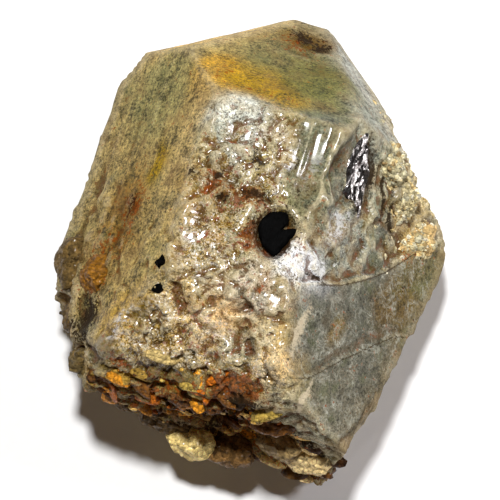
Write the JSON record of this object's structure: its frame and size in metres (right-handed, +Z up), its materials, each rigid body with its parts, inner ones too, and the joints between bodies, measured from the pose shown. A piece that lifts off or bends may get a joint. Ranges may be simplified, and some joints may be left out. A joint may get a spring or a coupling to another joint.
{
  "type": "apatite crystal",
  "caption": "Broken stubby six-sided prism of cloudy grey-green mineral with a pyramid end, rough broken top, crusted corners and flaky matrix at its foot.",
  "frame": {"origin": "on the surface it rests on, under the middle of its bounding box", "axes": "+Z up from the prism face it lies on; the crystal's own axis is level and runs from the broken near end to the pyramid, 16 degrees from +Y towards +X"},
  "size_m": [0.042, 0.0505, 0.0278],
  "materials": {
    "apatite": "cloudy grey-green stone with a dull sheen"
  },
  "bodies": {
    "root": {"apatite_crystal": "apatite"}
  },
  "joints": []
}
